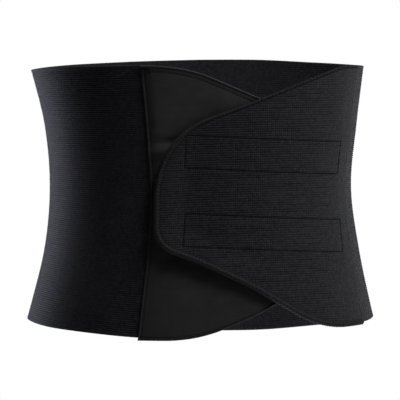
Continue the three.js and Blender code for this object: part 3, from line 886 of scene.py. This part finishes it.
def make_panel():
    """Loop panel, in rows from its lower to its upper edge and columns from its seam to its end."""
    top_inset = 1.0
    bottom_inset = 0.9
    hem_room = 2.5  # of a hem's rows, which a column needs to hold both hems at full size
    end_room = 2  # for the steps that round the end
    seam_steps = np.array((0, 0.15, 0.4, 0.7, 1.1, 1.5, 1.9, 2.3, 2.6, 2.9, 3.2, 3.6, 4.2, 5, 6.2, 8))
    hem_steps = np.array((0, 0.15, 0.4, 0.8, 1.2, 1.5, 1.8, 2.3, 2.8, 3.3, 3.7, 4, 4.3, 4.7, 5.3, 6.2, 7.5))
    mean_length = (PANEL_UPPER.length + PANEL_LOWER.length) / 2
    end_steps = mean_length - np.array((0, 0.4, 1.0))[::-1]
    even_steps = np.arange(seam_steps[-1] + PANEL_COLUMN, mean_length - end_room, PANEL_COLUMN)
    share = np.concatenate((seam_steps, even_steps, end_steps)) / mean_length
    top = PANEL_UPPER.place(1 - share, top_inset)
    bottom = PANEL_LOWER.place(share, bottom_inset)
    tall = np.linalg.norm(top - bottom, axis=1)
    room = np.minimum(1, tall / (hem_room * hem_steps[-1]))
    low = hem_steps[:, None] * room
    high = tall - hem_steps[::-1, None] * room
    between = np.linspace(0, 1, PANEL_ROWS)[1:-1, None]
    up = np.concatenate((low, lerp(low[-1], high[0], between), high))
    place = lerp(bottom, top, (up / tall)[..., None])
    from_seam = place[..., 0] - LEFT_SEAM
    from_top = PANEL_UPPER.nearest(place)[0]
    from_bottom = PANEL_LOWER.nearest(place)[0]
    place = bowed(place)
    from_end = (1 - share) * mean_length
    from_border = np.minimum(np.minimum(up, tall - up), np.minimum(share * mean_length, from_end))
    half = rounded(from_border, PANEL_THICKNESS)
    sewn = bell(from_seam, SEAM_STITCH_PLACE, GROOVE_WIDTH)
    hemmed = bell(from_top, HEM_STITCH_PLACE, GROOVE_WIDTH)
    rolled = bell(from_top, HEM_GROOVE_PLACE, GROOVE_WIDTH)
    high_up = smoothstep(place[..., 1], LOW_DOWN, HIGH_UP)
    beside_seam = 1 - smoothstep(from_seam, SEAM_STITCH_PLACE, SEAM_STITCH_PLACE + PANEL_SINK_REACH)
    sunk = lerp(PANEL_SINK_LOW, PANEL_SINK_HIGH, high_up) * beside_seam
    ridge = bell(from_seam, SEAM_RIDGE_PLACE, SEAM_RIDGE_WIDTH)
    lower_hem = bell(from_bottom, HEM_GROOVE_PLACE, GROOVE_WIDTH)
    relief = SEAM_RIDGE * ridge - PANEL_SEAM_GROOVE * sewn - HEM_GROOVE * np.maximum(hemmed, rolled)
    relief -= LOWER_HEM_GROOVE * lower_hem
    free = smoothstep(from_border, 0, RELIEF_START)
    middle = panel_inner(place) + PANEL_THICKNESS / 2 + PANEL_WAVE_HEIGHT * soft_waves(place)
    # Darker pile under the upper hem, and painted shade beside the seam high up, where the panel faces away
    # from the light
    dark_hem_and_seam_shade = 1 - smoothstep(from_top, HEM_STITCH_PLACE, HEM_STITCH_PLACE + HEM_FADE)
    under_ridge = smoothstep(from_seam, SEAM_RIDGE_PLACE, SEAM_STITCH_PLACE)
    dark_hem_and_seam_shade = np.maximum(dark_hem_and_seam_shade, high_up * beside_seam * under_ridge)
    # Painted light: the pile is lighter high up than low down, as the light falls on it
    painted_height_light = lerp(PILE_PAINTED_LIGHT_LOW, PILE_PAINTED_LIGHT_HIGH, high_up)
    # Painted shade in the panel's stitch grooves
    tone_and_painted_light = painted_height_light * (1 - PILE_SHADE * dark_hem_and_seam_shade) * (1 - STITCH_SHADE * np.maximum(hemmed, sewn))
    # Painted highlight along the seam's folded ridge
    tone_and_painted_light = tone_and_painted_light * (1 + SEAM_RIDGE_HIGHLIGHT * ridge)
    outer = middle + np.maximum(half - sunk, -PANEL_SINK_LIMIT * half) + relief * free
    return make_cloth("loop_cloth", place, outer, middle - half, tone_and_painted_light, place, LOOP)


# Threads

def overlock(edge_place, length, inner, bead, pitch, radius):
    """Threads that loop over a cloth's edge on its face and on its back, and one along the needle line.
    The edge's places are given by shares of its length and insets from it, and the bead's size by shares."""
    stitches = round(length / pitch)
    count = np.linspace(0, stitches, stitches * LOOP_STEPS + 1)
    paths = []
    for on_face, delay in ((True, 0), (False, 0.5)):
        swing = 0.5 - 0.5 * np.cos(2 * np.pi * (count + delay))
        share = np.clip(count + LOOP_SKEW * (swing - 0.5), 0, stitches) / stitches
        width, thickness = bead(share)
        base = inner(edge_place(share, width))
        height = bead_height(swing) * thickness - radius if on_face else radius
        paths.append(on_wall(edge_place(share, lerp(radius, width - radius, swing)), base + height))
    share = count / stitches
    width, thickness = bead(share)
    needle_place = edge_place(share, width - radius)
    needle_height = bead_height(1) * thickness - NEEDLE_SINK * radius
    paths.append(on_wall(needle_place, inner(needle_place) + needle_height))
    return np.array(paths)


def stitch_paths(line, inner, height):
    """Straight stitches one after another along a line of places, dipping into the cloth at both ends.
    The height is that of their groove over the cloth's inner face."""
    steps = np.linspace(0, 1, STITCH_STEPS)
    distance = distances(line)
    length = distance[-1]
    count = int(length // (STITCH_LENGTH + STITCH_GAP))
    begin = np.arange(count) * length / count
    place = interpolate(begin[:, None] + steps * STITCH_LENGTH, distance, line)
    lift = STITCH_RADIUS * lerp(-STITCH_DIP, STITCH_CREST, np.sqrt(np.sin(np.pi * steps)))
    return on_wall(place, inner(place) + height + lift)


def strip_lines():
    """Closed lines of the two stitched rectangles."""
    corners = np.array(((-1, -1), (1, -1), (1, 1), (-1, 1), (-1, -1))) / 2
    cosine = math.cos(STRIP_LEAN)
    sine = math.sin(STRIP_LEAN)
    turn = np.array(((cosine, sine), (-sine, cosine)))
    return [middle + (corners * (STITCHED_LENGTH, STITCHED_WIDTH)) @ turn for middle in STRIP_MIDDLES]


def flap_seam_line():
    end_share = 0.02  # of the seam, which is left out at each end
    bottom, top = FLAP_RIM.points[[-1, 0]] - (SEAM_STITCH_PLACE, 0)
    return resample(lerp(bottom, top, np.array((end_share, 1 - end_share))[:, None]), LINE_POINTS)


def panel_seam_line():
    end_gap = 3
    up = np.linspace(PANEL_BOTTOM[0][1] + end_gap, PANEL_TOP[0][1] - end_gap, LINE_POINTS)
    return bowed(np.stack((np.full(LINE_POINTS, LEFT_SEAM + SEAM_STITCH_PLACE), up), -1))


def panel_hem_line():
    last_share = 0.985  # of the way along the upper edge, short of the seam
    share = np.linspace(1 - PANEL_EDGING_SHARE, last_share, LINE_POINTS)
    return bowed(PANEL_UPPER.place(share, HEM_STITCH_PLACE))


def make_flap_overlock():
    radius = FLAP_LOOP_RADIUS
    paths = overlock(FLAP_RIM.place, FLAP_RIM.length, flap_inner, flap_bead, FLAP_LOOP_PITCH, radius)
    return make_threads("flap_overlock", [paths], radius, EDGE_THREAD)


def lower_edge_place(share, inset):
    """Places along the overlocked part of the panel's lower edge."""
    return bowed(PANEL_LOWER.place(share * PANEL_EDGING_SHARE, inset))


def upper_edge_place(share, inset):
    """Places along the rolled part of the panel's upper edge."""
    return bowed(PANEL_UPPER.place(1 - share * PANEL_EDGING_SHARE, inset))


def make_panel_overlock():
    radius = PANEL_LOOP_RADIUS
    length = PANEL_LOWER.length * PANEL_EDGING_SHARE
    paths = overlock(lower_edge_place, length, panel_inner, panel_bead, PANEL_LOOP_PITCH, radius)
    return make_threads("panel_overlock", [paths], radius, HEM_THREAD)


def make_panel_roll():
    """Rolled upper edge of the panel."""
    share = np.linspace(1, 0, ROLL_STEPS)
    inner = panel_inner(upper_edge_place(share, PANEL_EDGING_WIDTH))
    path = on_wall(upper_edge_place(share, ROLL_RADIUS), inner + PANEL_THICKNESS / 2 + ROLL_LIFT)
    return make_threads("panel_roll", [path[None]], ROLL_RADIUS, ROLL_THREAD, ROLL_SIDES)


def make_stitches():
    strip_height = FLAP_THICKNESS - STRIP_GROOVE
    seam_height = FLAP_THICKNESS - FLAP_RIB_DEPTH - FLAP_SEAM_GROOVE
    panel_height = PANEL_THICKNESS - HEM_GROOVE
    rectangles = [resample(line, RECTANGLE_POINTS) for line in strip_lines()]
    on_flap = [stitch_paths(line, flap_inner, strip_height) for line in rectangles]
    on_flap.append(stitch_paths(flap_seam_line(), flap_inner, seam_height))
    panel_lines = (panel_seam_line(), panel_hem_line())
    on_panel = [stitch_paths(line, panel_inner, panel_height) for line in panel_lines]
    return (
        make_threads("flap_stitches", on_flap, STITCH_RADIUS, STITCH_THREAD),
        make_threads("panel_stitches", on_panel, STITCH_RADIUS, EDGE_THREAD),
    )


body = make_body()
flap = make_flap()
panel = make_panel()
flap_overlock = make_flap_overlock()
panel_overlock = make_panel_overlock()
panel_roll = make_panel_roll()
flap_stitches, panel_stitches = make_stitches()

for piece, node, slot in (
    (body, "elastic_body", "ribbed_elastic"),
    (flap, "front_flap", "ribbed_elastic"),
    (panel, "loop_panel", "loop_cloth"),
    (flap_overlock, "flap_edging", "edge_thread"),
    (panel_overlock, "panel_bottom_edging", "edge_thread"),
    (panel_roll, "panel_top_edging", "edge_thread"),
):
    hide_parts(node)
for name in ("hook_strip_upper", "hook_strip_lower"):
    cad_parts[name].data.materials.clear()
    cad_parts[name].data.materials.append(HOOK)


# Camera, light and floor

CAMERA_DISTANCE = 4.0
CAMERA_ELEVATION = math.radians(3)
CAMERA_LENS = 434.5
CAMERA_SENSOR = 36
CAMERA_TARGET = Vector((0, 0, -0.0117))
FLOOR_HEIGHT = -0.9
FLOOR_SIZE = 6.0

# Lights: direction in degrees from the front to the right, elevation, distance, width, height, watts, tint
WHITE = (1, 1, 1)
WARM = (1, 0.99, 0.955)
COOL = (0.86, 0.87, 1)
LIGHTS = {
    "key": (50, 60, 2.0, 0.6, 0.5, 28, WARM),
    "right_side": (80, 4, 2.0, 0.9, 0.9, 10.4, WARM),
    "left_rim": (-124, -9, 2.0, 0.9, 1.2, 42, COOL),
    "right_rim": (147, -20, 2.0, 0.9, 0.6, 6, COOL),
    "under": (180, -88, 0.6, 0.35, 0.35, 1.7, WHITE),
}
AMBIENT = 0.004


def point_at(thing, target):
    thing.rotation_mode = "QUATERNION"
    thing.rotation_quaternion = (target - thing.location).to_track_quat("-Z", "Y")


def make_camera():
    data = bpy.data.cameras.new("camera")
    data.sensor_width = CAMERA_SENSOR
    data.lens = CAMERA_LENS
    camera = new_object("camera", data)
    back = Vector((0, -math.cos(CAMERA_ELEVATION), math.sin(CAMERA_ELEVATION)))
    camera.location = CAMERA_TARGET + back * CAMERA_DISTANCE
    point_at(camera, CAMERA_TARGET)
    scene.camera = camera


def make_lights():
    for name, (azimuth, elevation, distance, width, height, power, tint) in LIGHTS.items():
        turn, rise = math.radians(azimuth), math.radians(elevation)
        ahead = math.cos(rise)
        direction = Vector((math.sin(turn) * ahead, -math.cos(turn) * ahead, math.sin(rise)))
        data = bpy.data.lights.new(name, "AREA")
        data.shape = "RECTANGLE"
        data.size = width
        data.size_y = height
        data.energy = power
        data.color = tint
        light = new_object(name, data)
        light.visible_camera = False
        light.location = direction * distance
        point_at(light, CAMERA_TARGET)


def make_world():
    """White behind the object, and a dimmer even light from all sides."""
    world = bpy.data.worlds.new("studio")
    world.use_nodes = True
    tree = world.node_tree
    dim = tree.nodes["Background"]
    dim.inputs["Color"].default_value = (*WHITE, 1)
    dim.inputs["Strength"].default_value = AMBIENT
    white = add_node(tree, "ShaderNodeBackground", {"Color": (*WHITE, 1), "Strength": 1.0})
    seen = add_node(tree, "ShaderNodeLightPath").outputs["Is Camera Ray"]
    inputs = {0: seen, 1: dim.outputs[0], 2: white.outputs[0]}
    mixed = add_node(tree, "ShaderNodeMixShader", inputs)
    tree.links.new(mixed.outputs[0], tree.nodes["World Output"].inputs["Surface"])
    scene.world = world
    scene.view_settings.view_transform = "Standard"


def make_floor():
    mesh = bpy.data.meshes.new("floor")
    half = FLOOR_SIZE / 2
    corners = [(-half, -half, 0), (half, -half, 0), (half, half, 0), (-half, half, 0)]
    mesh.from_pydata(corners, [], [(0, 1, 2, 3)])
    mesh.materials.append(floor_material())
    floor = new_object("floor", mesh)
    floor.location.z = FLOOR_HEIGHT


make_camera()
make_lights()
make_world()
make_floor()
